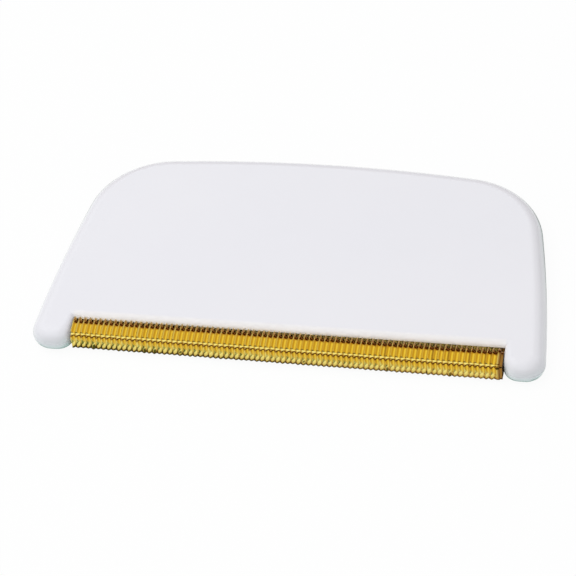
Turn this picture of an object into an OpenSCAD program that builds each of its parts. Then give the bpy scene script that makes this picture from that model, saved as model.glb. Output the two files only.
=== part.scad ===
// Sweater comb: a flat two-shell handle that grips a pleated brass strip folded round a core bar.
// The comb lies on its back. X runs along the comb edge, Y from the comb edge up the handle,
// and Z through the thickness. The origin is under the middle of the body.

/* [Body] */
// Width of the body along the comb edge
body_w = 90; // [80:1:120]
// Height of the body from the ends of the feet to the crown
body_h = 48; // [42:1:64]
// Thickness of the body
body_t = 5; // [4.6:0.1:8]
// Radius of the rim in section, a full round at half the thickness
rim_r = 2.5; // [1:0.1:2.7]
// Radius of the outer corner of each foot
foot_r = 3.4; // [2.6:0.1:4.2]
// Lean of the side where it leaves the foot, in degrees
foot_lean = 4.3; // [0:0.1:8]
// Radius of the gently bowed side
side_r = 300; // [200:10:600]
// Radius of the two top corners
corner_r = 15.2; // [8:0.1:18]
// Radius of the crown
crown_r = 270; // [180:10:600]

/* [Notch] */
// Width of each foot beside the comb strip
foot_w = 7.15; // [6.35:0.05:12]
// Depth of the notch from the ends of the feet to the lips
notch_d = 5.2; // [5:0.05:9]
// Radius of the inner corner of each foot
foot_inner_r = 2.8; // [2.6:0.1:3.6]
// Radius of the outer edge of each lip
lip_r = 1.1; // [0.3:0.05:1.3]

/* [Shell walls] */
// Thickness of the face of each shell over its hollow
wall_t = 1; // [0.8:0.05:1.25]
// Thickness of each lip, between the face and the slot
lip_t = 0.95; // [0.8:0.05:1.3]
// Width of the land that is welded round the rim
land_w = 2.4; // [1.6:0.1:2.5]
// Depth of the slot behind the lips
slot_d = 2.7; // [2.4:0.1:6]
// Thickness of the wall behind the slot
stop_t = 1.2; // [0.8:0.1:2.5]
// Thickness of each rib inside a shell
rib_t = 0.8; // [0.5:0.1:1.5]
// Spacing of the ribs
rib_pitch = 16.5; // [10:0.5:25]
// Radius of the ridge in each shell that grips the strip
grip_r = 0.5; // [0.4:0.05:0.8]
// How far the grip ridge stands down from the face of the slot
grip_h = 0.2; // [0.05:0.01:0.25]

/* [Locating pins] */
// Diameter of each pin
pin_d = 2; // [1.5:0.1:3]
// Height of each pin above the parting plane
pin_h = 1.2; // [0.6:0.1:1.3]
// Gap round each pin in its socket
pin_gap = 0.05; // [0.02:0.01:0.15]
// Diameter of the boss round each pin and socket
boss_d = 4.8; // [3.6:0.1:6]
// Distance of the pins outwards from the outermost ribs
pin_out = 2.7; // [0:0.1:3]
// Height of the lower pins above the ends of the feet
pin_low = 15; // [13:0.5:20]
// Height of the upper pins above the ends of the feet
pin_high = 29; // [24:0.5:32]

/* [Comb strip] */
// Distance from one pleat to the next
pleat_pitch = 0.908; // [0.8:0.004:2]
// Depth of a pleat on the open walls
pleat_d = 0.6; // [0.3:0.05:0.7]
// Depth of a pleat where it is crushed, at the tip corners and between the shells
crushed_d = 0.3; // [0.1:0.05:0.35]
// Thickness of the brass ribbon
ribbon_t = 0.1; // [0.08:0.01:0.2]
// How far the strip stands out of the lips
strip_reach = 4.6; // [4.3:0.05:5.2]
// Thickness of the strip at its fullest
swell_t = 4.8; // [4.5:0.1:5.2]
// Distance from the end face back to the fullest section
swell_y = 2.85; // [2.4:0.05:3.4]
// Height of the end face with its corners
tip_t = 4.4; // [3.6:0.1:4.7]
// Radius of the two tip corners
tip_r = 1.1; // [0.8:0.05:1.3]
// Gap between the strip and the notch at each end, at the least
end_gap = 0.1; // [0.05:0.05:1]
// Gap between the strip and the shells that hold it
seat_gap = 0.05; // [0.02:0.01:0.15]

/* [Core bar] */
// Gap between the core bar and the ribbon round it
core_gap = 0.05; // [0.02:0.01:0.2]
// How much shorter the core bar is than the strip at each end
core_inset = 0.2; // [0:0.05:1]

/* [Hidden] */
$fn = 48;
through = 1;           // how far a cut runs past the face that it opens
white = [0.93, 0.93, 0.94];
brass = [0.86, 0.70, 0.22];
half_t = body_t / 2;
rim = min(rim_r, half_t);

// The notch, the slot and the strip share these places, measured from the ends of the feet.
notch_w = body_w - 2 * foot_w;
slot_h = half_t - lip_t;
hollow_h = half_t - wall_t;
stop_y = notch_d + slot_d;
cavity_y = stop_y + stop_t;
grip_y = notch_d + slot_d / 2;
grip_low = slot_h - grip_h;

// Pleats, a whole number of them between the feet.
pleats = floor((notch_w - 2 * end_gap) / pleat_pitch);
strip_l = pleats * pleat_pitch;

// Centres of the arcs of the right half of the outline. The side arc is tangent to the foot arc,
// and the corner arc is tangent to the side and to the crown.
foot_c = [body_w / 2 - foot_r, foot_r];
inner_c = [notch_w / 2 + foot_inner_r, foot_inner_r];
side_c = foot_c - (side_r - foot_r) * [cos(foot_lean), sin(foot_lean)];
crown_c = [0, body_h - crown_r];
corner_c = meet(side_c, side_r - corner_r, crown_c, crown_r - corner_r);
side_end = heading(side_c, corner_c);
corner_end = heading(crown_c, corner_c);

// Direction in degrees from point a to point b.
function heading(a, b) = atan2(b.y - a.y, b.x - a.x);

// The upper of the two points at distance ra from a and rb from b.
function meet(a, ra, b, rb) =
    let (gap = norm(b - a), u = (b - a) / gap,
         along = (ra * ra - rb * rb + gap * gap) / (2 * gap),
         side = sqrt(ra * ra - along * along))
    a + along * u + side * (u.x < 0 ? [u.y, -u.x] : [-u.y, u.x]);

// A row of the outline is [x, y, outward normal x, normal y, radius of the rounded edge there].
function row(c, r, a, edge) = [c.x + r * cos(a), c.y + r * sin(a), cos(a), sin(a), edge];
function arc(c, r, from, to, steps) =
    [for (i = [0 : steps - 1]) row(c, r, from + (to - from) * i / steps, rim)];
function flipped(rows) =
    [for (i = [len(rows) - 1 : -1 : 0]) let (p = rows[i]) [-p[0], p[1], -p[2], p[3], p[4]]];
function inset(p, d) = [p[0] - d * p[2], p[1] - d * p[3]];

// The inner side of a foot, where the edge opens out from the small round of the lip to the full
// round of the rim along the way.
wall_run = notch_d - foot_inner_r;
inner_run = wall_run + foot_inner_r * PI / 2;
wall_steps = 3;
inner_steps = 6;
function opening(run) =
    let (t = run / inner_run) lip_r + (rim - lip_r) * t * t * (3 - 2 * t);
inner_rows = concat(
    [[notch_w / 2, notch_d, -1, -1, lip_r]],
    [for (i = [1 : wall_steps - 1]) let (run = wall_run * i / wall_steps)
        [notch_w / 2, notch_d - run, -1, 0, opening(run)]],
    [for (i = [0 : inner_steps]) let (turn = 90 * i / inner_steps)
        row(inner_c, foot_inner_r, 180 + turn,
            opening(wall_run + foot_inner_r * turn * PI / 180))]);

// The outer side of the right half, and the whole outline, anticlockwise from the right lip end.
foot_steps = 9;
side_steps = 4;
corner_steps = 10;
crown_steps = 5;
outer_rows = concat(
    arc(foot_c, foot_r, -90, foot_lean, foot_steps),
    arc(side_c, side_r, foot_lean, side_end, side_steps),
    arc(corner_c, corner_r, side_end, corner_end, corner_steps),
    arc(crown_c, crown_r, corner_end, 90, crown_steps));
crown_row = [[0, body_h, 0, 1, rim]];
right_rows = concat(inner_rows, outer_rows);
outline = concat(right_rows, crown_row, flipped(right_rows));

// Half of the solid body, from the parting plane at z = 0 up to the face, with its round rim.
module half_blank() {
    steps = 7;             // rings from the parting plane to the face
    n = len(outline);
    function level(k, edge) =
        let (a = 90 * k / steps)
        [edge * (1 - cos(a)), k == 0 ? 0 : half_t - edge + edge * sin(a)];
    points = [for (k = [0 : steps]) for (p = outline) let (v = level(k, p[4]))
        [each inset(p, v[0]), v[1]]];
    walls = [for (k = [0 : steps - 1]) for (i = [0 : n - 1]) let (j = (i + 1) % n)
        [k * n + i, (k + 1) * n + i, (k + 1) * n + j, k * n + j]];
    // The flat faces are cut at the second point of each side arc, into a body and two feet.
    m = len(inner_rows) + foot_steps + 1;
    body_face = [each [m : n - 1 - m], n - 1, 0];
    feet = [[m, each [0 : m - 1]], [each [n - 1 - m : n - 1]]];
    function face_at(k, ring) = [for (i = ring) k * n + i];
    function reversed(f) = [for (i = [len(f) - 1 : -1 : 0]) f[i]];
    flats = concat([body_face], feet);
    polyhedron(points, concat(walls, [for (f = flats) face_at(0, f)],
        [for (f = flats) reversed(face_at(steps, f))]), convexity = 3);
}

// A bar along X whose section, in Y and Z, is the child shape.
module along_x(length) {
    translate([-length / 2, 0, 0]) rotate([90, 0, 90]) linear_extrude(length) children();
}

// The hollow of a shell behind the stop wall, inside the welded land.
module cavity_plan() {
    intersection() {
        polygon([for (p = concat(outer_rows, crown_row, flipped(outer_rows))) inset(p, land_w)]);
        translate([-body_w / 2, cavity_y]) square([body_w, body_h]);
    }
}

rib_n = floor((body_w / 2 - land_w - corner_r / 2) / rib_pitch);
rib_x = [for (i = [-rib_n : rib_n]) i * rib_pitch];
pin_x = rib_n * rib_pitch + pin_out;

module at_pins() {
    for (s = [-1, 1]) for (y = [pin_low, pin_high]) translate([s * pin_x, y, 0]) children();
}

// Either shell before its pins or sockets, with the parting plane at z = 0 and the face upwards.
module shell_half() {
    difference() {
        half_blank();
        translate([-notch_w / 2, notch_d - through, -through])
            cube([notch_w, slot_d + through, slot_h + through]);
        difference() {
            translate([0, 0, -through]) linear_extrude(hollow_h + through) cavity_plan();
            for (x = rib_x) translate([x - rib_t / 2, 0, -2 * through])
                cube([rib_t, body_h, half_t + 2 * through]);
            at_pins() translate([0, 0, -2 * through]) cylinder(d = boss_d, h = half_t + 2 * through);
        }
    }
    intersection() {
        along_x(notch_w) translate([grip_y, grip_low + grip_r]) circle(grip_r);
        translate([-notch_w / 2, notch_d, 0]) cube([notch_w, slot_d, slot_h + lip_t / 2]);
    }
}

// Moves a piece that is drawn from the ends of the feet and the parting plane to its place.
module placed() {
    translate([0, -body_h / 2, half_t]) children();
}

// The upper shell has the sockets.
module front_shell() {
    color(white) placed() difference() {
        shell_half();
        at_pins() translate([0, 0, -through]) cylinder(d = pin_d + 2 * pin_gap, h = hollow_h + through);
    }
}

// The lower shell has the pins, rooted in its wall.
module rear_shell() {
    color(white) placed() {
        mirror([0, 0, 1]) shell_half();
        at_pins() translate([0, 0, -wall_t / 2]) cylinder(d = pin_d, h = pin_h + wall_t / 2);
    }
}

// Half of the section of the strip, as [y, z, direction of the outward normal, pleat depth] at
// the crest of a pleat, from the edge in the slot to the middle of the end face. The back and the
// front of the swelling are arcs that are level at its fullest section, and the front arc is
// tangent to the round of the tip corner.
tip_y = notch_d - strip_reach;
swell_c = tip_y + swell_y;
edge_z = slot_h - seat_gap;
shoulder_turn = 39;    // where the back arc gives way to the neck between the lips
shoulder_gap = 0.06;   // from the shoulder to the faces of the lips
back_r = (strip_reach - swell_y - shoulder_gap) / sin(shoulder_turn);
tip_c = [tip_y + tip_r, tip_t / 2 - tip_r];
front_run = swell_c - tip_c.x;
front_drop = (swell_t - tip_t) / 2;
front_turn = 2 * atan(front_drop / front_run);
half_section = concat(
    [[stop_y - seat_gap, edge_z, 90, crushed_d],
     [grip_y, grip_low - seat_gap, 90, crushed_d],
     [notch_d - seat_gap, edge_z, 90, crushed_d]],
    [for (turn = [shoulder_turn, shoulder_turn / 2, 0])
        [swell_c + back_r * sin(turn), swell_t / 2 - back_r * (1 - cos(turn)), 90 - turn, pleat_d]],
    [for (corner = [[front_turn, pleat_d], [(front_turn + 90) / 2, crushed_d], [90, crushed_d]])
        let (turn = corner[0])
        [tip_c.x - tip_r * sin(turn), tip_c.y + tip_r * cos(turn), 90 + turn, corner[1]]]);

// The whole section, front half and then the rear half mirrored in the parting plane.
function mirrored(s) = [s[0], -s[1], -s[2], s[3]];
section = concat(half_section,
    [for (i = [len(half_section) - 1 : -1 : 0]) mirrored(half_section[i])]);

// Thickness of the ribbon across a pleat of depth d, measured square to the wall.
function ribbon_across(d) = ribbon_t * norm([pleat_pitch / 2, d]) / (pleat_pitch / 2);

// A point of the section moved inwards by depth.
function sunk(s, depth) = [s[0] - depth * cos(s[2]), s[1] - depth * sin(s[2])];

// The pleated ribbon: rings of the section, at a crest and a valley in turn.
module comb_strip() {
    n = 2 * len(section);
    rings = 2 * pleats;
    function ring(valley) = concat(
        [for (s = section) sunk(s, valley * s[3])],
        [for (i = [len(section) - 1 : -1 : 0]) let (s = section[i])
            sunk(s, valley * s[3] + ribbon_across(s[3]))]);
    crest = ring(0);
    valley = ring(1);
    points = [for (i = [0 : rings]) for (p = i % 2 == 0 ? valley : crest)
        [(i / rings - 0.5) * strip_l, p.x, p.y]];
    walls = [for (i = [0 : rings - 1]) for (j = [0 : n - 1]) let (k = (j + 1) % n)
        each [[i * n + j, (i + 1) * n + j, (i + 1) * n + k], [i * n + j, (i + 1) * n + k, i * n + k]]];
    first_end = [for (j = [0 : len(section) - 2]) [j, j + 1, n - 2 - j, n - 1 - j]];
    last_end = [for (f = first_end) [for (i = [3 : -1 : 0]) rings * n + f[i]]];
    color(brass) placed() polyhedron(points, concat(first_end, walls, last_end), convexity = 6);
}

// The core bar fills the ribbon up to the inside of its valleys.
module core_bar() {
    color("gainsboro") placed() along_x(strip_l - 2 * core_inset)
        polygon([for (s = section) sunk(s, s[3] + ribbon_across(s[3]) + core_gap)]);
}

front_shell();
rear_shell();
comb_strip();
core_bar();
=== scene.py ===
import math

import bmesh
import bpy
from mathutils import Matrix, Vector


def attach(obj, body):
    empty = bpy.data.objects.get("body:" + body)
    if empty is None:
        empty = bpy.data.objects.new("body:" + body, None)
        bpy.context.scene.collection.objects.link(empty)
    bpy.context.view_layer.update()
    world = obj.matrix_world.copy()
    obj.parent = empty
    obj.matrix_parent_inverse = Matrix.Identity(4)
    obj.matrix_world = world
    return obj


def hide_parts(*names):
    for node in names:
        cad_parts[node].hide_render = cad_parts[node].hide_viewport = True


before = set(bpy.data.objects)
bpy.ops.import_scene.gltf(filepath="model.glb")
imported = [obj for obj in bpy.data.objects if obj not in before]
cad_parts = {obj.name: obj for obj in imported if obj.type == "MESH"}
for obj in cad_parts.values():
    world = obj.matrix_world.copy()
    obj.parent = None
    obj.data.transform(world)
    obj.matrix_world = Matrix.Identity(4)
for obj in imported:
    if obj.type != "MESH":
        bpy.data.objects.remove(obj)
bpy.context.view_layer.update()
mm = 0.001


# --- Camera
# The comb is seen from the side of its feet, a little from the right and half way up, with a long
# lens and the camera rolled so that the comb edge falls to the right.

view_azimuth = math.radians(13.87)
view_elevation = math.radians(45.47)
view_roll = math.radians(6.18)
view_distance = 565.2 * mm
aim = Vector((-2.617, -4.177, 0)) * mm
toward_camera = Vector((math.sin(view_azimuth) * math.cos(view_elevation),
                        -math.cos(view_azimuth) * math.cos(view_elevation),
                        math.sin(view_elevation)))
level = Vector((math.cos(view_azimuth), math.sin(view_azimuth), 0))
right = level * math.cos(view_roll) - toward_camera.cross(level) * math.sin(view_roll)
upward = toward_camera.cross(right)
camera_data = bpy.data.cameras.new("camera")
camera_data.sensor_width = 36
camera_data.lens = 3194 * 36 / 576
camera_data.clip_start = 0.01
camera = bpy.data.objects.new("camera", camera_data)
bpy.context.collection.objects.link(camera)
turn = Matrix((right, upward, toward_camera)).transposed()
camera.matrix_world = Matrix.Translation(aim + toward_camera * view_distance) @ turn.to_4x4()
bpy.context.scene.camera = camera


# --- White table and soft daylight
# The comb lies on a white table under a wide white canopy. The canopy is open at the back and the
# room in front of the table is dark, a guess that gives the brass something dark to mirror.

def add_node(tree, kind, place=(0, 0), **settings):
    node = tree.nodes.new(kind)
    node.location = place
    for key, value in settings.items():
        if key == "inputs":
            for socket, given in value.items():
                node.inputs[socket].default_value = given
        else:
            setattr(node, key, value)
    return node


def join(tree, *pairs):
    for start, end in pairs:
        tree.links.new(start, end)


def smooth_range(tree, value, low, high, to_low, to_high, place=(0, 0)):
    node = add_node(tree, "ShaderNodeMapRange", place, interpolation_type="SMOOTHSTEP",
                    inputs={"From Min": low, "From Max": high, "To Min": to_low, "To Max": to_high})
    tree.links.new(value, node.inputs["Value"])
    return node.outputs["Result"]


def maths(tree, operation, a, b=None, place=(0, 0)):
    node = add_node(tree, "ShaderNodeMath", place, operation=operation)
    for socket, value in zip(node.inputs, (a, b)):
        if hasattr(value, "is_linked"):
            tree.links.new(value, socket)
        elif value is not None:
            socket.default_value = value
    return node.outputs[0]


scene = bpy.context.scene
scene.view_settings.view_transform = "Standard"

world = bpy.data.worlds.new("studio")
scene.world = world
world.use_nodes = True
sky = world.node_tree
sky.nodes.clear()
direction = add_node(sky, "ShaderNodeSeparateXYZ", (-900, 0))
join(sky, (add_node(sky, "ShaderNodeTexCoord", (-1100, 0)).outputs["Generated"], direction.inputs[0]))
sideways = maths(sky, "ABSOLUTE", direction.outputs["X"])
open_back = maths(sky, "MULTIPLY",
                  smooth_range(sky, direction.outputs["Y"], 0.74, 0.82, 0.0, 1.0, (-700, 400)),
                  smooth_range(sky, sideways, 0.72, 0.88, 1.0, 0.0, (-900, 200)))
room_front = maths(sky, "MULTIPLY",
                   smooth_range(sky, direction.outputs["Y"], -0.85, -0.60, 1.0, 0.0, (-700, 0)),
                   smooth_range(sky, direction.outputs["Z"], 0.25, 0.50, 1.0, 0.0, (-700, -200)))
seam = smooth_range(sky, maths(sky, "ABSOLUTE", maths(sky, "SUBTRACT", direction.outputs["X"], 0.27)),
                    0.03, 0.10, 0.5, 0.0, (-900, 0))
canopy = maths(sky, "MULTIPLY",
               maths(sky, "MULTIPLY",
                     maths(sky, "MULTIPLY",
                           maths(sky, "SUBTRACT", 1.0, open_back),
                           maths(sky, "SUBTRACT", 1.0, seam)),
                     smooth_range(sky, sideways, 0.45, 0.70, 1.0, 0.72, (-900, -300))),
               maths(sky, "SUBTRACT", 1.0, maths(sky, "MULTIPLY", room_front, 0.9)))
room_tint = add_node(sky, "ShaderNodeMix", (-200, 300), data_type="RGBA")
room_tint.inputs["A"].default_value = (0.20, 0.085, 0.035, 1)
room_tint.inputs["B"].default_value = (1.0, 1.0, 1.0, 1)
mirrored_light = add_node(sky, "ShaderNodeBackground", (0, 200))
overhead = smooth_range(sky, direction.outputs["Z"], 0.2, 0.6, 0.8, 1.05, (-400, -200))
join(sky,
     (overhead, mirrored_light.inputs["Strength"]),
     (canopy, room_tint.inputs["Factor"]),
     (room_tint.outputs["Result"], mirrored_light.inputs["Color"]))
plain_light = add_node(sky, "ShaderNodeBackground", (0, 0), inputs={"Color": (0.98, 0.98, 0.99, 1)})
slant = maths(sky, "SUBTRACT", direction.outputs["Z"], maths(sky, "MULTIPLY", direction.outputs["X"], 0.25))
join(sky, (smooth_range(sky, slant, -0.3, 1.0, 0.415, 0.765, (-400, 0)), plain_light.inputs["Strength"]))
seen_white = add_node(sky, "ShaderNodeBackground", (0, -200), inputs={"Color": (1, 1, 1, 1), "Strength": 1.0})
ray = add_node(sky, "ShaderNodeLightPath", (0, 500))
glossy_mix = add_node(sky, "ShaderNodeMixShader", (250, 100))
camera_mix = add_node(sky, "ShaderNodeMixShader", (450, 0))
sky_out = add_node(sky, "ShaderNodeOutputWorld", (650, 0))
join(sky,
     (ray.outputs["Is Glossy Ray"], glossy_mix.inputs[0]),
     (plain_light.outputs[0], glossy_mix.inputs[1]),
     (mirrored_light.outputs[0], glossy_mix.inputs[2]),
     (ray.outputs["Is Camera Ray"], camera_mix.inputs[0]),
     (glossy_mix.outputs[0], camera_mix.inputs[1]),
     (seen_white.outputs[0], camera_mix.inputs[2]),
     (camera_mix.outputs[0], sky_out.inputs["Surface"]))

floor_mesh = bpy.data.meshes.new("table_top")
floor_mesh.from_pydata([(-3, -3, 0), (3, -3, 0), (3, 3, 0), (-3, 3, 0)], [], [(0, 1, 2, 3)])
table_top = bpy.data.objects.new("table_top", floor_mesh)
scene.collection.objects.link(table_top)
table_paint = bpy.data.materials.new("white_table")
table_paint.use_nodes = True
tree = table_paint.node_tree
tree.nodes.clear()
grain = add_node(tree, "ShaderNodeTexNoise", (-600, 0), inputs={"Scale": 40.0, "Detail": 3.0})
join(tree, (add_node(tree, "ShaderNodeTexCoord", (-800, 0)).outputs["Object"], grain.inputs["Vector"]))
tint = add_node(tree, "ShaderNodeMix", (-400, 0), data_type="RGBA")
tint.inputs["A"].default_value = (0.86, 0.88, 0.87, 1)
tint.inputs["B"].default_value = (0.90, 0.91, 0.90, 1)
join(tree, (grain.outputs["Fac"], tint.inputs["Factor"]))
# Painted shadow: to light that bounces off the table, it is painted dark under the comb and cyan at its edge,
# fading to the plain table about 3.5 mm out; the camera sees the plain table.
seen_tint = add_node(tree, "ShaderNodeMix", (-300, 100), data_type="RGBA")
painted_shadow_fade = add_node(tree, "ShaderNodeMix", (-500, 250), data_type="RGBA")
painted_shadow_fade.inputs["B"].default_value = (0.82, 0.87, 0.86, 1)
under = add_node(tree, "ShaderNodeMix", (-700, 450), data_type="RGBA")
under.inputs["A"].default_value = (0.06, 0.10, 0.07, 1)
under.inputs["B"].default_value = (0.30, 0.84, 0.70, 1)
table_place = add_node(tree, "ShaderNodeSeparateXYZ", (-1000, 250))
join(tree,
     (add_node(tree, "ShaderNodeTexCoord", (-1200, 250)).outputs["Object"], table_place.inputs[0]),
     (under.outputs["Result"], painted_shadow_fade.inputs["A"]),
     (painted_shadow_fade.outputs["Result"], seen_tint.inputs["A"]))
shaded_x, shaded_y = 44.5 * mm, 23.7 * mm
beside = maths(tree, "MAXIMUM",
               maths(tree, "SUBTRACT", maths(tree, "ABSOLUTE", table_place.outputs["X"]), shaded_x),
               maths(tree, "SUBTRACT", maths(tree, "ABSOLUTE", table_place.outputs["Y"]), shaded_y))
join(tree,
     (smooth_range(tree, beside, -3 * mm, 0.0, 0.0, 1.0, (-900, 450)), under.inputs["Factor"]),
     (smooth_range(tree, beside, -1 * mm, 3.5 * mm, 0.0, 1.0, (-700, 250)), painted_shadow_fade.inputs["Factor"]))
matt = add_node(tree, "ShaderNodeBsdfDiffuse", (-200, 0))
glare = add_node(tree, "ShaderNodeEmission", (-200, -200), inputs={"Strength": 1.0})
ray = add_node(tree, "ShaderNodeLightPath", (-400, 300))
# Painted reflection: to mirror rays the table glows white, with a painted shadow under the comb and painted
# dark far in front of it, which the brass mirrors.
painted_shade_in_brass = add_node(tree, "ShaderNodeMix", (-700, -200), data_type="RGBA")
painted_shade_in_brass.inputs["A"].default_value = (0.10, 0.12, 0.06, 1)
painted_shade_in_brass.inputs["B"].default_value = (1.0, 1.0, 0.96, 1)
glare_tint = add_node(tree, "ShaderNodeMix", (-400, -200), data_type="RGBA")
glare_tint.inputs["B"].default_value = (1, 1, 1, 1)
glare_share = 0.94
mix = add_node(tree, "ShaderNodeMixShader", (100, 0))
out = add_node(tree, "ShaderNodeOutputMaterial", (300, 0))
join(tree,
     (ray.outputs["Is Camera Ray"], seen_tint.inputs["Factor"]),
     (tint.outputs["Result"], seen_tint.inputs["B"]),
     (seen_tint.outputs["Result"], matt.inputs["Color"]),
     (maths(tree, "MULTIPLY",
            smooth_range(tree, beside, -0.3 * mm, 0.3 * mm, 0.0, 1.0, (-900, -200)),
            smooth_range(tree, table_place.outputs["Y"], -29.6 * mm, -27.4 * mm, 0.0, 1.0, (-900, -400))),
      painted_shade_in_brass.inputs["Factor"]),
     (painted_shade_in_brass.outputs["Result"], glare_tint.inputs["A"]),
     (ray.outputs["Is Camera Ray"], glare_tint.inputs["Factor"]),
     (glare_tint.outputs["Result"], glare.inputs["Color"]),
     (maths(tree, "MULTIPLY",
            maths(tree, "MAXIMUM", ray.outputs["Is Camera Ray"], ray.outputs["Is Glossy Ray"]),
            glare_share),
      mix.inputs[0]),
     (matt.outputs[0], mix.inputs[1]),
     (glare.outputs[0], mix.inputs[2]),
     (mix.outputs[0], out.inputs["Surface"]))
floor_mesh.materials.append(table_paint)


def soft_lamp(name, place, toward, width, depth, power, in_mirrors=False):
    data = bpy.data.lights.new(name, "AREA")
    data.shape = "RECTANGLE"
    data.size = width
    data.size_y = depth
    data.energy = power
    lamp = bpy.data.objects.new(name, data)
    lamp.location = place
    lamp.rotation_euler = (Vector(toward) - Vector(place)).to_track_quat("-Z", "Y").to_euler()
    lamp.visible_glossy = in_mirrors
    scene.collection.objects.link(lamp)
    return lamp


soft_lamp("canopy_lamp", (-0.22, -0.06, 0.58), (0, 0, 0), 0.5, 0.4, 1.55)


# --- Shells
# The handle is two white styrene mouldings, welded along a parting line at half the thickness.
# Each has a full round rim, a foot at each side and a lip over the comb strip.

body_w, body_h, body_t = 90.0, 48.0, 5.0
rim_r, foot_r, foot_lean = 2.5, 3.4, math.radians(4.3)
side_r, corner_r, crown_r = 300.0, 15.2, 270.0
foot_w, notch_d, foot_inner_r, lip_r = 7.15, 5.2, 2.8, 1.1
slot_d, slot_half = 2.7, 1.55
half_t = body_t / 2
notch_w = body_w - 2 * foot_w


def meeting(a, ra, b, rb):
    """The upper of the two points at distance ra from a and rb from b."""
    gap = (b - a).length
    along = (ra * ra - rb * rb + gap * gap) / (2 * gap)
    side = math.sqrt(ra * ra - along * along)
    u = (b - a) / gap
    across = Vector((u.y, -u.x)) if u.x < 0 else Vector((-u.y, u.x))
    return a + u * along + across * side


def outline_rows():
    """The outline, anticlockwise from the right end of the lip: x, y, outward x, outward y, edge radius."""
    foot_c = Vector((body_w / 2 - foot_r, foot_r))
    inner_c = Vector((notch_w / 2 + foot_inner_r, foot_inner_r))
    side_c = foot_c - (side_r - foot_r) * Vector((math.cos(foot_lean), math.sin(foot_lean)))
    crown_c = Vector((0, body_h - crown_r))
    corner_c = meeting(side_c, side_r - corner_r, crown_c, crown_r - corner_r)
    side_end = math.atan2(corner_c.y - side_c.y, corner_c.x - side_c.x)
    corner_end = math.atan2(corner_c.y - crown_c.y, corner_c.x - crown_c.x)
    wall_run = notch_d - foot_inner_r
    inner_run = wall_run + foot_inner_r * math.pi / 2

    def opening(run):
        t = run / inner_run
        return lip_r + (rim_r - lip_r) * t * t * (3 - 2 * t)

    def row(c, r, a, edge):
        return (c.x + r * math.cos(a), c.y + r * math.sin(a), math.cos(a), math.sin(a), edge)

    def arc(c, r, start, end, steps):
        return [row(c, r, start + (end - start) * i / steps, rim_r) for i in range(steps)]

    rows = [(notch_w / 2, notch_d, -1, -1, lip_r)]
    for i in range(1, 10):
        rows.append((notch_w / 2, notch_d - wall_run * i / 10, -1, 0, opening(wall_run * i / 10)))
    for i in range(29):
        a = math.pi / 2 * i / 28
        rows.append(row(inner_c, foot_inner_r, math.pi + a, opening(wall_run + foot_inner_r * a)))
    rows += arc(foot_c, foot_r, -math.pi / 2, foot_lean, 30)
    rows += arc(side_c, side_r, foot_lean, side_end, 14)
    rows += arc(corner_c, corner_r, side_end, corner_end, 34)
    rows += arc(crown_c, crown_r, corner_end, math.pi / 2, 20)
    left = [(-x, y, -nx, ny, e) for x, y, nx, ny, e in reversed(rows)]
    return rows + [(0, body_h, 0, 1, rim_r)] + left


def moulding(name, side):
    """One shell as a closed solid: side is 1 for the front shell and -1 for the rear one."""
    rows = outline_rows()
    steps, seam = 14, 0.07
    rings = []
    for k in range(-1, steps + 1):
        ring = []
        for x, y, nx, ny, edge in rows:
            if k < 0:
                d, z = seam, 0.0
            else:
                a = math.pi / 2 * k / steps
                d = edge * (1 - math.cos(a))
                z = seam if k == 0 else max(half_t - edge + edge * math.sin(a), seam * 1.5)
            ring.append(((x - d * nx) * mm, (y - d * ny - body_h / 2) * mm, (half_t + side * z) * mm))
        rings.append(ring)
    n = len(rows)
    points = [p for ring in rings for p in ring]
    faces = [(k * n + i, k * n + (i + 1) % n, (k + 1) * n + (i + 1) % n, (k + 1) * n + i)
             for k in range(len(rings) - 1) for i in range(n)]
    faces.append(tuple(range(n - 1, -1, -1)))
    faces.append(tuple((len(rings) - 1) * n + i for i in range(n)))
    if side < 0:
        faces = [tuple(reversed(f)) for f in faces]
    mesh = bpy.data.meshes.new(name)
    mesh.from_pydata(points, [], faces)
    return mesh


def new_object(name, mesh):
    piece = bpy.data.objects.new(name, mesh)
    scene.collection.objects.link(piece)
    return piece


def box_mesh(low, high):
    mesh = bpy.data.meshes.new("box")
    bm = bmesh.new()
    bmesh.ops.create_cube(bm, size=1.0)
    for v in bm.verts:
        v.co = Vector([(low[i] if v.co[i] < 0 else high[i]) * mm for i in range(3)])
    bm.to_mesh(mesh)
    bm.free()
    return mesh


def finished(piece):
    """The piece's modifiers are made part of its mesh."""
    graph = bpy.context.evaluated_depsgraph_get()
    mesh = bpy.data.meshes.new_from_object(piece.evaluated_get(graph))
    piece.modifiers.clear()
    old = piece.data
    piece.data = mesh
    mesh.name = piece.name
    bpy.data.meshes.remove(old)


def carve(piece, meshes, operation="DIFFERENCE"):
    for mesh in meshes:
        tool = new_object("tool", mesh)
        cut = piece.modifiers.new("cut", "BOOLEAN")
        cut.operation = operation
        cut.solver = "EXACT"
        cut.object = tool
        finished(piece)
        bpy.data.objects.remove(tool)


styrene = bpy.data.materials.new("white_styrene")
styrene.use_nodes = True
tree = styrene.node_tree
plastic = tree.nodes["Principled BSDF"]
plastic.inputs["IOR"].default_value = 1.59
place = add_node(tree, "ShaderNodeTexCoord", (-1100, 0))
flow = add_node(tree, "ShaderNodeTexNoise", (-900, 100),
                inputs={"Scale": 35.0, "Detail": 2.0, "Roughness": 0.45})
tint = add_node(tree, "ShaderNodeMix", (-500, 200), data_type="RGBA")
tint.inputs["A"].default_value = (0.800, 0.800, 0.845, 1)
tint.inputs["B"].default_value = (0.835, 0.828, 0.860, 1)
# Painted light: where the lip is thin over the strip it is tinted brighter and warmer, standing in for light
# the brass throws on it.
painted_lip_light = add_node(tree, "ShaderNodeMix", (-300, 200), data_type="RGBA")
painted_lip_light.inputs["B"].default_value = (0.89, 0.865, 0.86, 1)
polish = add_node(tree, "ShaderNodeTexNoise", (-900, -150), inputs={"Scale": 220.0, "Detail": 3.0})
swirl = add_node(tree, "ShaderNodeBump", (-300, -250), inputs={"Strength": 0.05, "Distance": 0.00005})
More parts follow.
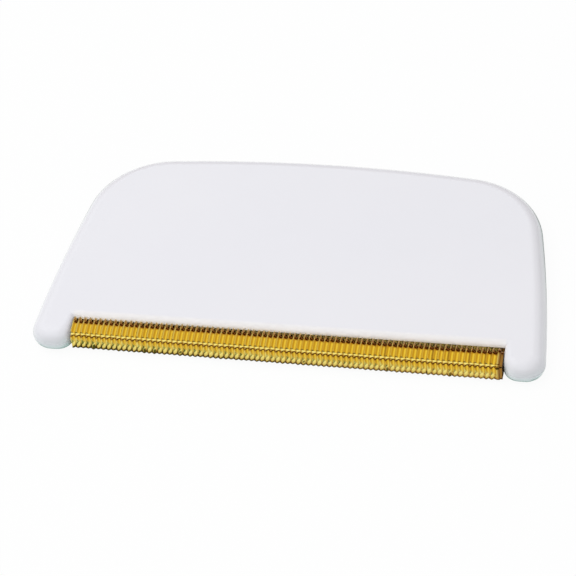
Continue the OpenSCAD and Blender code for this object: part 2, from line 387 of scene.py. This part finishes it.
join(tree,
     (place.outputs["Object"], flow.inputs["Vector"]),
     (place.outputs["Object"], polish.inputs["Vector"]),
     (flow.outputs["Fac"], tint.inputs["Factor"]),
     (tint.outputs["Result"], painted_lip_light.inputs["A"]),
     (painted_lip_light.outputs["Result"], plastic.inputs["Base Color"]),
     (smooth_range(tree, polish.outputs["Fac"], 0.2, 0.8, 0.16, 0.24, (-500, -100)),
      plastic.inputs["Roughness"]),
     (polish.outputs["Fac"], swirl.inputs["Height"]),
     (swirl.outputs["Normal"], plastic.inputs["Normal"]))
plastic.inputs["Subsurface Radius"].default_value = (1, 1, 1)
plastic.inputs["Subsurface Scale"].default_value = 0.0012
from_lip = add_node(tree, "ShaderNodeSeparateXYZ", (-900, -400))
join(tree, (place.outputs["Object"], from_lip.inputs[0]))
lip_y = (notch_d + 0.3 - body_h / 2) * mm
off_lip = maths(tree, "ABSOLUTE", maths(tree, "SUBTRACT", from_lip.outputs["Y"], lip_y))
off_middle = maths(tree, "ABSOLUTE", from_lip.outputs["X"])
# One mask gives the thin lip real subsurface glow and also the painted brighter tint.
thin_lip_and_painted_light = maths(tree, "MULTIPLY",
             smooth_range(tree, off_lip, 0.4 * mm, 1.2 * mm, 0.9, 0.0, (-700, -400)),
             smooth_range(tree, off_middle, 37.7 * mm, 38.3 * mm, 1.0, 0.0, (-700, -600)))
join(tree, (thin_lip_and_painted_light, plastic.inputs["Subsurface Weight"]), (thin_lip_and_painted_light, painted_lip_light.inputs["Factor"]))

for node_name, side in (("front_shell", 1), ("rear_shell", -1)):
    shell = new_object(node_name + "_moulding", moulding(node_name + "_moulding", side))
    slot = [(-notch_w / 2, notch_d - 1 - body_h / 2), (notch_w / 2, notch_d + slot_d - body_h / 2)]
    z_low, z_high = sorted((half_t - side, half_t + side * slot_half))
    carve(shell, [box_mesh((*slot[0], z_low), (*slot[1], z_high))])
    shell.data.materials.clear()
    shell.data.materials.append(styrene)
    shell.data.shade_smooth()
    shell.data.set_sharp_from_angle(angle=math.radians(32))
    level_normals = shell.modifiers.new("level_normals", "WEIGHTED_NORMAL")
    level_normals.keep_sharp = True
    finished(shell)
    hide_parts(node_name)
    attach(shell, "root")


# --- Comb strip
# A ribbon of bright brass foil, pleated like a fan and then folded round the core bar, with both
# edges pushed into the slot. The fold crushes the pleats where it turns at the tip. Brown on the
# brass along the lips and the tip is painted reflection, a guess at what the real foil mirrors
# there. Each pleat's left flank and the tucked end are painted darker, as painted shade.

pleat_pitch, pleat_d, crushed_d = 0.9078, 0.74, 0.3
steps_per_pleat, strip_steps, first_crest, last_crest = 6, 498, -37.61, 82
ribbon_t, strip_skew = 0.10, -0.0078
tail_stretch = 0.09 * mm
swell_y, swell_half, swell_r, lip_half = 3.45, 2.4, 2.69, 1.5
tip_y, tip_r, tip_cy, tip_cz = 0.58, 1.1, 1.68, 1.12


def section_rows():
    """Half of the section along the crests: y, z, turn of the outward normal from +Z toward the
    tip, least and greatest pleat height in mm, share of painted reflection near the lip and under
    the tip."""
    back_turn, slope = math.radians(39), math.radians(3.5)
    start = (swell_y - swell_r * math.sin(slope), swell_half - swell_r * (1 - math.cos(slope)))
    tip_slope = slope
    for i in range(40):
        end = (tip_cy - tip_r * math.sin(tip_slope), tip_cz + tip_r * math.cos(tip_slope))
        tip_slope = 2 * math.atan2(start[1] - end[1], start[0] - end[0]) - slope
    rows = [(notch_d + 2.6, lip_half, 0.0, 0.2, 0.3, 0.0, 0.0),
            (notch_d + 0.3, lip_half, 0.0, 0.2, 0.3, 0.0, 0.0),
            (notch_d - 0.02, lip_half + 0.05, -math.radians(60), 0.1, 0.5, 0.0, 0.0)]
    whole = pleat_d + 0.1  # more than a pleat has, so the row isn't pressed flat
    lip_reflection_paints = (0.1, 0.3, 0.6, 0.9, 1.0, 1.0, 1.0, 0.7, 0.25)
    for i, reflection_paint in enumerate(lip_reflection_paints):
        a = back_turn - (back_turn + slope) * i / len(lip_reflection_paints)
        rows.append((swell_y + swell_r * math.sin(a), swell_half - swell_r * (1 - math.cos(a)),
                     -a, 0.0, whole, reflection_paint, 0.0))
    for i in range(6):
        t = i / 6
        a = slope + (tip_slope - slope) * t
        ease = t + t * (1 - t) * (slope - tip_slope) / (slope + tip_slope) * 0.5
        rows.append((start[0] + (end[0] - start[0]) * t, start[1] + (end[1] - start[1]) * ease,
                     a, 0.0, whole, 0.0, 0.0))
    tip_start = math.degrees(tip_slope)
    for turn, least, most, reflection_paint in (
            (tip_start, 0.0, whole, 0.0), (18, 0.0, whole, 0.0), (25, 0.0, whole, 0.0),
            (31, 0.1, 0.5, 0.0), (36, crushed_d, crushed_d, 0.0), (44, crushed_d, crushed_d, 0.0),
            (52, crushed_d, crushed_d, 0.0), (57, 0.1, 0.5, 0.3), (62, 0.0, whole, 1.0),
            (69, 0.0, whole, 1.0), (76, 0.0, whole, 0.9), (83, 0.0, whole, 0.45),
            (90, 0.0, whole, 0.1)):
        a = math.radians(turn)
        rows.append((tip_cy - tip_r * math.sin(a), tip_cz + tip_r * math.cos(a),
                     a, least, most, 0.0, reflection_paint))
    for part in (0.67, 0.33, 0.0):
        rows.append((tip_y, tip_cz * part, math.pi / 2, 0.0, whole, 0.0, 0.0))
    return rows


def mirrored_rows(half):
    """The other half, under the tip: its pleats are pressed flatter and it carries the painted reflection
    nearly all over.
    """
    least_under, most_under, start_reflection_paints = 0.08, 0.5, (0.0, 0.35, 0.8, 1.0)
    return [(y, -z, math.pi - a, max(least, least_under), min(most, most_under), 0.0,
             start_reflection_paints[min(i, 3)])
            for i, (y, z, a, least, most, *reflection_paints) in enumerate(reversed(half[:-1]))]


half_rows = section_rows()
rows = half_rows + mirrored_rows(half_rows)
section_mesh = bpy.data.meshes.new("strip_section")
valley_d = pleat_d - ribbon_t
section_points = [(0, (y - body_h / 2 + valley_d * math.sin(a)) * mm,
                   (half_t + z - valley_d * math.cos(a)) * mm)
                  for y, z, a, *rest in rows]
section_mesh.from_pydata(section_points, [(i, i + 1) for i in range(len(rows) - 1)], [])
section_mesh.attributes.new("outward", "FLOAT_VECTOR", "POINT").data.foreach_set(
    "vector", [v for y, z, a, *rest in rows for v in (0, -math.sin(a), math.cos(a))])
for name, column, unit in (("least", 3, mm), ("most", 4, mm), ("near_lip", 5, 1), ("under_tip", 6, 1)):
    section_mesh.attributes.new(name, "FLOAT", "POINT").data.foreach_set(
        "value", [row[column] * unit for row in rows])

ribbon_rule = bpy.data.node_groups.new("pleated_ribbon", "GeometryNodeTree")


def tree_input(tree, name, kind, value=None):
    socket = tree.interface.new_socket(name, in_out="INPUT", socket_type=kind)
    if value is not None:
        socket.default_value = value
    return socket


tree_input(ribbon_rule, "Section", "NodeSocketGeometry")
sizes = {
    "First Crest": ("NodeSocketFloat", first_crest * mm),
    "Pitch": ("NodeSocketFloat", pleat_pitch * mm),
    "Steps Per Pleat": ("NodeSocketInt", steps_per_pleat),
    "Steps": ("NodeSocketInt", strip_steps),
    "Last Crest": ("NodeSocketInt", last_crest),
    "Section Points": ("NodeSocketInt", len(rows)),
    "Pleat Depth": ("NodeSocketFloat", pleat_d * mm),
    "Skew": ("NodeSocketFloat", strip_skew),
    "Unevenness": ("NodeSocketFloat", 0.05 * mm),
    "Seed": ("NodeSocketInt", 7),
}
size_sockets = {name: tree_input(ribbon_rule, name, kind) for name, (kind, value) in sizes.items()}
tree_input(ribbon_rule, "Material", "NodeSocketMaterial")
ribbon_rule.interface.new_socket("Ribbon", in_out="OUTPUT", socket_type="NodeSocketGeometry")

g = ribbon_rule
given = add_node(g, "NodeGroupInput", (-1800, 0))
made = add_node(g, "NodeGroupOutput", (1600, 0))
across = maths(g, "ADD", given.outputs["Steps"], 1)
grid = add_node(g, "GeometryNodeMeshGrid", (-1200, 300), inputs={"Size X": 1.0, "Size Y": 1.0})
spot = add_node(g, "ShaderNodeSeparateXYZ", (-1400, -100))
along = maths(g, "ADD", spot.outputs["X"], 0.5)
place_index = maths(g, "ROUND", maths(g, "MULTIPLY", maths(g, "ADD", spot.outputs["Y"], 0.5),
                                      maths(g, "SUBTRACT", given.outputs["Section Points"], 1)))
join(g,
     (across, grid.inputs["Vertices X"]),
     (given.outputs["Section Points"], grid.inputs["Vertices Y"]),
     (add_node(g, "GeometryNodeInputPosition", (-1600, -100)).outputs[0], spot.inputs[0]))


def sampled(kind, name=None):
    node = add_node(g, "GeometryNodeSampleIndex", (-800, 0), data_type=kind, domain="POINT")
    if name:
        source = add_node(g, "GeometryNodeInputNamedAttribute", (-1000, 0), data_type=kind)
        source.inputs["Name"].default_value = name
        value = source.outputs["Attribute"]
    else:
        value = add_node(g, "GeometryNodeInputPosition", (-1000, 0)).outputs[0]
    join(g,
         (given.outputs["Section"], node.inputs["Geometry"]),
         (value, node.inputs["Value"]),
         (place_index, node.inputs["Index"]))
    return node.outputs["Value"]


def vector_maths(tree, operation, a, b):
    node = add_node(tree, "ShaderNodeVectorMath", (0, 0), operation=operation)
    join(tree, (a, node.inputs[0]))
    if operation == "SCALE":
        join(tree, (b, node.inputs["Scale"]))
    else:
        join(tree, (b, node.inputs[1]))
    return node.outputs[0]


step_number = maths(g, "MULTIPLY", along, given.outputs["Steps"])
phase = maths(g, "DIVIDE", step_number, given.outputs["Steps Per Pleat"])
pleat_number = maths(g, "FLOOR", maths(g, "ADD", phase, 0.5))
ramp = maths(g, "SUBTRACT", maths(g, "MULTIPLY", maths(g, "FRACT", maths(g, "ADD", phase, 0.5)), 2.0), 1.0)
from_crest = maths(g, "ABSOLUTE", ramp)
middle = maths(g, "MULTIPLY", maths(g, "SUBTRACT", from_crest, 0.33333), 3.0)
flank = maths(g, "MINIMUM", maths(g, "MAXIMUM", middle, 0.0), 1.0)
run = maths(g, "ADD", maths(g, "MULTIPLY", from_crest, 0.15), maths(g, "MULTIPLY", flank, 0.85))


def squared(value, factor):
    return maths(g, "MULTIPLY", maths(g, "MULTIPLY", value, value), factor)


crest_side = maths(g, "MINIMUM", run, 0.05)
valley_side = maths(g, "MINIMUM", maths(g, "SUBTRACT", 1.0, run), 0.05)
between = maths(g, "MINIMUM", maths(g, "MAXIMUM", run, 0.05), 0.95)
zigzag = maths(g, "DIVIDE",
               maths(g, "ADD", maths(g, "SUBTRACT", 0.975, between),
                     maths(g, "SUBTRACT", squared(valley_side, 10.0), squared(crest_side, 10.0))),
               0.95)
tail = maths(g, "MAXIMUM", maths(g, "SUBTRACT", phase, given.outputs["Last Crest"]), 0.0)
in_tail = maths(g, "GREATER_THAN", tail, 0.0)
wave = maths(g, "ADD",
             maths(g, "MULTIPLY", zigzag, maths(g, "SUBTRACT", 1.0, in_tail)),
             maths(g, "MULTIPLY", maths(g, "MAXIMUM", maths(g, "SUBTRACT", 1.0, tail), 0.0), in_tail))


def uneven(offset):
    node = add_node(g, "FunctionNodeRandomValue", (-600, -500), data_type="FLOAT",
                    inputs={2: -1.0, 3: 1.0})
    join(g, (pleat_number, node.inputs["ID"]),
         (maths(g, "ADD", given.outputs["Seed"], offset), node.inputs["Seed"]))
    return maths(g, "MULTIPLY", node.outputs[1], given.outputs["Unevenness"])


rise = maths(g, "MULTIPLY", wave, given.outputs["Pleat Depth"])
capped = maths(g, "MINIMUM", rise,
               maths(g, "ADD", sampled("FLOAT", "most"), uneven(0)))
height = maths(g, "MAXIMUM", capped, sampled("FLOAT", "least"))
section_place = vector_maths(g, "ADD", sampled("FLOAT_VECTOR"),
                             vector_maths(g, "SCALE", sampled("FLOAT_VECTOR", "outward"), height))
flank_run = maths(g, "MULTIPLY", maths(g, "SIGN", ramp), run)
x_phase = maths(g, "ADD", pleat_number, maths(g, "MULTIPLY", flank_run, 0.5))
x_even = maths(g, "ADD", maths(g, "MULTIPLY", x_phase, given.outputs["Pitch"]), given.outputs["First Crest"])
x_place = maths(g, "ADD", x_even,
                maths(g, "ADD",
                      maths(g, "MULTIPLY", wave, uneven(11)),
                      maths(g, "MULTIPLY", tail, tail_stretch)))
shift = add_node(g, "ShaderNodeCombineXYZ", (200, -300))
join(g, (x_place, shift.inputs["X"]),
     (maths(g, "MULTIPLY", x_place, given.outputs["Skew"]), shift.inputs["Y"]))
set_place = add_node(g, "GeometryNodeSetPosition", (600, 200))
kept = grid.outputs["Mesh"]
for name, value in (("tucked_end", tail),
                    ("flank_place", flank_run),
                    ("lip_reflection_paint", sampled("FLOAT", "near_lip")),
                    ("tip_reflection_paint", sampled("FLOAT", "under_tip"))):
    keep = add_node(g, "GeometryNodeStoreNamedAttribute", (800, 200), data_type="FLOAT", domain="POINT")
    keep.inputs["Name"].default_value = name
    join(g, (kept, keep.inputs["Geometry"]), (value, keep.inputs["Value"]))
    kept = keep.outputs["Geometry"]
realize = add_node(g, "GeometryNodeRealizeInstances", (1200, 200))
dress = add_node(g, "GeometryNodeSetMaterial", (1400, 200))
join(g,
     (kept, set_place.inputs["Geometry"]),
     (vector_maths(g, "ADD", section_place, shift.outputs[0]), set_place.inputs["Position"]),
     (set_place.outputs["Geometry"], realize.inputs["Geometry"]),
     (realize.outputs["Geometry"], dress.inputs["Geometry"]),
     (given.outputs["Material"], dress.inputs["Material"]),
     (dress.outputs["Geometry"], made.inputs["Ribbon"]))

brass = bpy.data.materials.new("bright_brass")
brass.use_nodes = True
tree = brass.node_tree
metal = tree.nodes["Principled BSDF"]
metal.inputs["Metallic"].default_value = 1.0
place = add_node(tree, "ShaderNodeTexCoord", (-1100, 0))
roll_marks = add_node(tree, "ShaderNodeTexNoise", (-900, 100), inputs={"Scale": 900.0, "Detail": 2.0})
tint = add_node(tree, "ShaderNodeMix", (-500, 200), data_type="RGBA")
tint.inputs["A"].default_value = (0.90, 0.73, 0.18, 1)
tint.inputs["B"].default_value = (0.94, 0.78, 0.23, 1)
# Painted shade: the tucked end past the last crest is painted dark brown.
tucked = add_node(tree, "ShaderNodeAttribute", (-700, 500), attribute_name="tucked_end")
painted_end_shade = add_node(tree, "ShaderNodeMix", (-250, 300), data_type="RGBA")
painted_end_shade.inputs["B"].default_value = (0.30, 0.15, 0.03, 1)
flank_place, lip_reflection_paint, tip_reflection_paint = (
    add_node(tree, "ShaderNodeAttribute", (-1100, level), attribute_name=name).outputs["Fac"]
    for name, level in (("flank_place", 700), ("lip_reflection_paint", 900), ("tip_reflection_paint", 1100)))
# Painted shade: the left-facing flank of each pleat is painted darker.
left_flank = maths(tree, "MULTIPLY",
                   smooth_range(tree, flank_place, -0.95, -0.5, 0.0, 1.0, (-900, 700)),
                   smooth_range(tree, flank_place, -0.15, 0.1, 1.0, 0.0, (-900, 850)))
painted_flank_shade = add_node(tree, "ShaderNodeMix", (-350, 500), data_type="RGBA")
painted_flank_shade.inputs["B"].default_value = (0.50, 0.28, 0.02, 1)
# Painted reflection: the brass is painted brown along the lips and at the tip, standing in for the dark that
# the foil mirrors there.
reflection_paint = add_node(tree, "ShaderNodeMix", (-300, 400), data_type="RGBA")
reflection_paint.inputs["B"].default_value = (0.36, 0.16, 0.02, 1)
# The light that the brass throws on the plastic beside it is taken as paler than the brass is.
bounced = add_node(tree, "ShaderNodeBsdfDiffuse", (300, -300), inputs={"Color": (1.0, 0.90, 0.74, 1)})
lit_mix = add_node(tree, "ShaderNodeMixShader", (500, 0))
join(tree,
     (place.outputs["Object"], roll_marks.inputs["Vector"]),
     (roll_marks.outputs["Fac"], tint.inputs["Factor"]),
     (smooth_range(tree, tucked.outputs["Fac"], 0.1, 0.3, 0.0, 1.0, (-500, 500)), painted_end_shade.inputs["Factor"]),
     (tint.outputs["Result"], painted_flank_shade.inputs["A"]),
     (maths(tree, "MULTIPLY", left_flank, 0.8), painted_flank_shade.inputs["Factor"]),
     (painted_flank_shade.outputs["Result"], reflection_paint.inputs["A"]),
     (maths(tree, "MAXIMUM",
            maths(tree, "MULTIPLY", lip_reflection_paint,
                  smooth_range(tree, maths(tree, "ABSOLUTE", flank_place), 0.0, 0.25, 0.7, 1.0, (-700, 900))),
            maths(tree, "MULTIPLY", tip_reflection_paint,
                  smooth_range(tree, flank_place, -0.1, 0.7, 1.0, 0.5, (-700, 1100)))),
      reflection_paint.inputs["Factor"]),
     (reflection_paint.outputs["Result"], painted_end_shade.inputs["A"]),
     (painted_end_shade.outputs["Result"], metal.inputs["Base Color"]),
     (smooth_range(tree, roll_marks.outputs["Fac"], 0.2, 0.8, 0.04, 0.09, (-500, -100)),
      metal.inputs["Roughness"]),
     (add_node(tree, "ShaderNodeLightPath", (300, 300)).outputs["Is Diffuse Ray"], lit_mix.inputs[0]),
     (metal.outputs[0], lit_mix.inputs[1]),
     (bounced.outputs[0], lit_mix.inputs[2]),
     (lit_mix.outputs[0], tree.nodes["Material Output"].inputs["Surface"]))

strip = new_object("pleated_strip", section_mesh)
folding = strip.modifiers.new("folding", "NODES")
folding.node_group = ribbon_rule
for socket in ribbon_rule.interface.items_tree:
    if socket.in_out == "INPUT" and socket.name in sizes:
        folding[socket.identifier] = sizes[socket.name][1]
    if socket.in_out == "INPUT" and socket.name == "Material":
        folding[socket.identifier] = brass
finished(strip)
foil = strip.modifiers.new("foil", "SOLIDIFY")
foil.thickness = ribbon_t * mm
foil.offset = 1.0
finished(strip)
bm = bmesh.new()
bm.from_mesh(strip.data)
bmesh.ops.recalc_face_normals(bm, faces=bm.faces)
bm.to_mesh(strip.data)
bm.free()
strip.data.shade_smooth()
strip.data.set_sharp_from_angle(angle=math.radians(50))
flat_walls = strip.modifiers.new("flat_walls", "WEIGHTED_NORMAL")
flat_walls.keep_sharp = True
finished(strip)
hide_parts("comb_strip")
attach(strip, "root")


# --- Core bar
# A plain extruded bar inside the folded foil, which keeps its swollen shape when the comb is
# pressed on cloth. It shows only at the cut ends of the foil.

core_plastic = bpy.data.materials.new("core_plastic")
core_plastic.use_nodes = True
tree = core_plastic.node_tree
bar = tree.nodes["Principled BSDF"]
drawn = add_node(tree, "ShaderNodeTexNoise", (-900, 100), inputs={"Scale": 300.0, "Detail": 2.0})
stretch = add_node(tree, "ShaderNodeMapping", (-1100, 100), inputs={"Scale": (0.05, 1.0, 1.0)})
tint = add_node(tree, "ShaderNodeMix", (-500, 200), data_type="RGBA")
tint.inputs["A"].default_value = (0.62, 0.60, 0.56, 1)
tint.inputs["B"].default_value = (0.72, 0.70, 0.66, 1)
join(tree,
     (add_node(tree, "ShaderNodeTexCoord", (-1300, 0)).outputs["Object"], stretch.inputs["Vector"]),
     (stretch.outputs[0], drawn.inputs["Vector"]),
     (drawn.outputs["Fac"], tint.inputs["Factor"]),
     (tint.outputs["Result"], bar.inputs["Base Color"]),
     (smooth_range(tree, drawn.outputs["Fac"], 0.2, 0.8, 0.45, 0.6, (-500, -100)), bar.inputs["Roughness"]))

core_gap, core_inset = 0.05, 0.25
core_depth = pleat_d + ribbon_t * 1.5 + core_gap
outer = [(y + core_depth * math.sin(a), z - core_depth * math.cos(a)) for y, z, a, *rest in half_rows[3:]]
profile = [(notch_d + 2.5, 0.2), (notch_d, 0.2)] + [p for p in outer if p[1] > 0.22 or p[0] < tip_y + 1.5]
profile += [(y, -z) for y, z in reversed(profile) if z > 0]
core_ends = (first_crest + core_inset, first_crest + strip_steps * pleat_pitch / steps_per_pleat - core_inset)
points = [(x * mm, (y - body_h / 2 + strip_skew * x) * mm, (half_t + z) * mm)
          for x in core_ends for y, z in profile]
n = len(profile)
faces = [(i, (i + 1) % n, n + (i + 1) % n, n + i) for i in range(n)]
core_mesh = bpy.data.meshes.new("core_bar_extrusion")
core_mesh.from_pydata(points, [], faces + [tuple(range(n - 1, -1, -1)), tuple(range(n, 2 * n))])
bm = bmesh.new()
bm.from_mesh(core_mesh)
bmesh.ops.recalc_face_normals(bm, faces=bm.faces)
bm.to_mesh(core_mesh)
bm.free()
core_mesh.materials.append(core_plastic)
core = new_object("core_bar_extrusion", core_mesh)
core_mesh.shade_smooth()
core_mesh.set_sharp_from_angle(angle=math.radians(30))
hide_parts("core_bar")
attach(core, "root")
